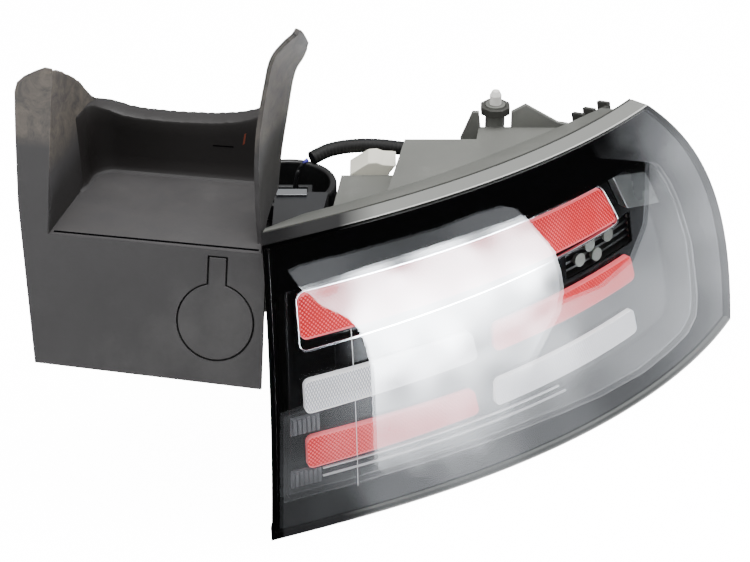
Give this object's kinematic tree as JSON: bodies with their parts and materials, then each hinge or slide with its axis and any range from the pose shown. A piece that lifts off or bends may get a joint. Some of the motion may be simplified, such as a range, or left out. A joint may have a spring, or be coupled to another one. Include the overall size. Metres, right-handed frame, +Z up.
{
  "type": "tail light cluster",
  "caption": "Right-hand rear lamp of a car with a clear wrap-round lens, red and white rows, grey housing, harness outlet and the body-side closing trim with its access flap.",
  "frame": {"origin": "centre of the main fixing hole, on the front face of its tab", "axes": "+X outboard along the car, away from the trim; +Y towards the front of the car, into the body; +Z up"},
  "size_m": [0.4342, 0.2448, 0.285],
  "materials": {
    "clear_lens": "clear, glossy, hard-coated",
    "black_border": "glossy black behind the clear lens",
    "sealant": "matt black bead",
    "grey_housing": "moulded, satin, slightly dusty",
    "gloss_bezel": "glossy black",
    "bright_trim": "bright plated plastic",
    "red_diffuser": "red, translucent, fine dotted texture",
    "white_diffuser": "milky, fine dotted and ribbed texture",
    "grey_prism": "smoky grey, faceted",
    "dark_panel": "dark grey, ribbed",
    "white_plastic": "off-white, satin",
    "fluted_plastic": "grey, upright flutes",
    "circuit_board": "green lacquer",
    "led_package": "yellow phosphor window",
    "dark_nylon": "dark grey, satin",
    "black_bracket": "black, satin, faceted",
    "spring_steel": "bright cut strip",
    "grommet_rubber": "black, slightly shiny",
    "conduit_plastic": "black, corrugated",
    "wire_sheath": "coloured sheaths, one violet",
    "translucent_nylon": "milky, translucent",
    "zinc_steel": "zinc plated",
    "grained_trim": "dark grey, fine grain, scuffed rims",
    "grained_flap": "dark grey, fine grain"
  },
  "bodies": {
    "lamp": {"outer_lens": "clear_lens", "lens_border": "black_border", "lens_seal": "sealant", "housing": "grey_housing", "inner_bezel": "gloss_bezel", "upper_frame": "bright_trim", "tail_diffuser_upper": "red_diffuser", "indicator_diffuser_inner": "white_diffuser", "tail_diffuser_middle": "red_diffuser", "tail_diffuser_lower": "red_diffuser", "reverse_diffuser_outer": "white_diffuser", "end_prism": "grey_prism", "ribbed_panel": "dark_panel", "collimators": "white_plastic", "fluted_optics": "fluted_plastic", "accent_strips": "bright_trim", "reflector_tray": "white_plastic", "row_dividers": "dark_panel", "upper_led_board": "circuit_board", "middle_led_board": "circuit_board", "lower_led_board": "circuit_board", "leds": "led_package", "boss_ring": "dark_nylon", "locating_peg": "white_plastic", "edge_clip": "dark_nylon", "side_bracket": "black_bracket", "metal_clip": "spring_steel", "body_grommet": "grommet_rubber", "plug": "black_bracket", "conduit": "conduit_plastic", "wires": "wire_sheath", "cable_clip": "translucent_nylon", "driver_module": "dark_nylon", "driver_screws": "zinc_steel", "bracket_screws": "zinc_steel", "vent_cap": "grommet_rubber", "outboard_pin": "zinc_steel", "closing_trim": "grained_trim", "trim_screws": "zinc_steel"},
    "flap": {"access_flap": "grained_flap"}
  },
  "joints": [
    {"name": "access_flap_hinge", "type": "hinge", "parent": "lamp", "child": "flap", "pos_m": [0.00203, -0.01806, 0.03362], "axis": [-0.9848, 0.1736, 0], "range_deg": [0, 100]}
  ]
}
